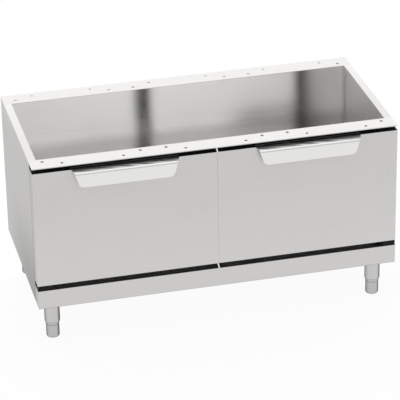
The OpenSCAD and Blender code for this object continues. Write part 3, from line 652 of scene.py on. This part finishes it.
seamStop("seam_stop_top", stopShape["top"], stopShape)
seamStop("seam_stop_low", stopShape["low"], stopShape)

holeShadeShape = {"z": (641.2, 643.2), "outer": (590, -274, -236), "inner": (560, -224.6, -214.2)}  # mm


def holeShadeStrip(row, s):
    # painted shade: a black strip under one row of the front rail's fixing holes, so that the holes read dark
    half, front, back = s[row]
    outline = [(-half, front), (half, front), (half, back), (-half, back)]
    piece = closedTube("hole_shade_strip_" + row, *extruded(outline, *s["z"]))
    piece.data.materials.append(finishes["seal_rubber"])
    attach(piece, bodyOfNode["plinth"])


for row in ("outer", "inner"):
    holeShadeStrip(row, holeShadeShape)

print("stage: legs")
legShape = {"x": 546, "front": -199.424, "rear": 253.576, "turns": 64,
            "tube": 25.4, "wall": 1.5, "end": 58.8, "cap": 3, "capHole": 6.2, "bore": 12.1, "spindle": 12,
            "foot": 21.75, "footTop": 46, "neck": 46.8, "cone": 47.8, "plug": 23.85, "plugTop": 93.8,
            "travel": 40, "rim": 6}  # mm


def softCorners(outline, arcSteps=5):
    # a closed outline from (radius, height, rounding) corners: each corner becomes the arc of a parabola
    # between the two points that lie the rounding's length before and after it
    outline = np.array(outline, float)
    points, rounding = outline[:, :2], outline[:, 2:]
    before, after = np.roll(points, 1, axis=0) - points, np.roll(points, -1, axis=0) - points
    start = points + before / np.linalg.norm(before, axis=1, keepdims=True) * rounding
    end = points + after / np.linalg.norm(after, axis=1, keepdims=True) * rounding
    t = np.linspace(0, 1, arcSteps)[None, :, None]
    start, middle, end = start[:, None], points[:, None], end[:, None]
    arcs = (1 - t) ** 2 * start + 2 * t * (1 - t) * middle + t ** 2 * end
    return arcs.reshape(-1, 2)


def lathed(name, node, outline, centre, turns):
    # the outline carried round the leg's axis: x = radius times cosine, y = radius times sine of the turn
    angle = np.arange(turns) * (2 * math.pi / turns)
    radius, height = outline[:, 0][:, None], outline[:, 1][:, None]
    x, y = centre[0] + radius * np.cos(angle), centre[1] + radius * np.sin(angle)
    piece = gridSurface(name, x, y, np.broadcast_to(height, x.shape), ring=True)
    piece.data.set_sharp_from_angle(angle=math.radians(tubeSet["sharp"]))
    return finishPiece(piece, node)


def makeLeg(corner, s):
    # tube, guide and foot, each an outline of (radius, height, rounding) corners carried round the axis
    centre = (s["x"] * (1 if "right" in corner else -1), s["front"] if "front" in corner else s["rear"])
    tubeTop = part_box("leg_tube_" + corner)[1].z / mm
    inner, underCap, spindleTop = s["tube"] - s["wall"], tubeTop - s["cap"], s["plugTop"] + s["travel"]
    tube = softCorners([(inner, s["end"], 0.3), (s["tube"], s["end"], 0.6), (s["tube"], tubeTop, 0.8),
                        (s["capHole"], tubeTop, 0.2), (s["capHole"], underCap, 0.2), (inner, underCap, 0.3)])
    lathed("leg_sleeve_" + corner, "leg_tube_" + corner, tube, centre, s["turns"])
    guide = softCorners([(s["bore"], s["neck"], 0.2), (s["foot"], s["neck"], 0.3),
                         (s["foot"], s["cone"], 0.6), (s["tube"] - 0.15, s["end"] - 0.6, 0.5),
                         (s["plug"], s["end"] + 0.2, 0.2), (s["plug"], s["plugTop"], 0.4),
                         (s["bore"], s["plugTop"], 0.2)])
    lathed("leg_nose_" + corner, "leg_guide_" + corner, guide, centre, s["turns"])
    foot = softCorners([(0.2, 0, 0.05), (s["foot"], 0, s["rim"]), (s["foot"], s["footTop"], 0.6),
                        (s["spindle"], s["footTop"], 0.3), (s["spindle"], spindleTop, 0.8),
                        (0.2, spindleTop, 0.05)])
    lathed("leg_foot_" + corner, "foot_" + corner, foot, centre, s["turns"])


for corner in corners:
    makeLeg(corner, legShape)

print("stage: light and floor")
studio = {"floorSize": 24, "white": 1.0, "shadowShare": 0.09, "sky": 1.0, "floorGrey": 0.9}  # metres, shares
lampBehind = {"place": (0, 1.5, 2.2), "size": (1.3, 0.9), "power": 31, "aim": (0, 0, 0.4)}  # metres, watts


def backdropShare(sheet):
    # 1 for rays that see the background itself: camera, glossy and transmitted ones
    path = sheet.add("ShaderNodeLightPath").outputs
    seen = sheet.maths("ADD", path["Is Camera Ray"], path["Is Glossy Ray"])
    return sheet.maths("ADD", seen, path["Is Transmission Ray"], clamp=True)


def makeWorld():
    world = bpy.data.worlds.new("studio")
    world.use_nodes = True
    world.node_tree.nodes.clear()
    sheet = NodeSheet(world.node_tree)
    white = sheet.add("ShaderNodeBackground", {"Color": (1, 1, 1, 1), "Strength": studio["white"]})
    room = sheet.add("ShaderNodeBackground", {"Color": (1, 1, 1, 1), "Strength": studio["sky"]})
    mix = sheet.add("ShaderNodeMixShader",
                    {0: backdropShare(sheet), 1: room.outputs[0], 2: white.outputs[0]})
    sheet.add("ShaderNodeOutputWorld", {"Surface": mix.outputs[0]})
    scene.world = world


def makeFloor():
    # pale floor: what the camera sees is mostly plain white, with a share of the lit surface and its shadow
    half = studio["floorSize"] / 2
    mesh = bpy.data.meshes.new("floor")
    square = [(-half, -half, 0), (half, -half, 0), (half, half, 0), (-half, half, 0)]
    mesh.from_pydata(square, [], [(0, 1, 2, 3)])
    floor = bpy.data.objects.new("floor", mesh)
    scene.collection.objects.link(floor)
    material = bpy.data.materials.new("floor")
    material.use_nodes = True
    material.node_tree.nodes.clear()
    sheet = NodeSheet(material.node_tree)
    matte = sheet.add("ShaderNodeBsdfDiffuse", {"Color": (studio["floorGrey"],) * 3 + (1,)})
    white = sheet.add("ShaderNodeEmission", {"Color": (1, 1, 1, 1), "Strength": studio["white"]})
    share = sheet.maths("MULTIPLY", backdropShare(sheet), 1 - studio["shadowShare"])
    mix = sheet.add("ShaderNodeMixShader", {0: share, 1: matte.outputs[0], 2: white.outputs[0]})
    sheet.add("ShaderNodeOutputMaterial", {"Surface": mix.outputs[0]})
    material.cycles.emission_sampling = "NONE"
    mesh.materials.append(material)


def softLamp(name, s):
    # an area lamp that lights what is matt and stays out of reflections
    data = bpy.data.lights.new(name, "AREA")
    data.shape = "RECTANGLE"
    data.size, data.size_y = s["size"]
    data.energy = s["power"]
    lamp = bpy.data.objects.new(name, data)
    lamp.location = s["place"]
    lamp.rotation_euler = (Vector(s["aim"]) - Vector(s["place"])).to_track_quat("-Z", "Y").to_euler()
    lamp.visible_glossy = False
    scene.collection.objects.link(lamp)


makeWorld()
makeFloor()
softLamp("behind", lampBehind)
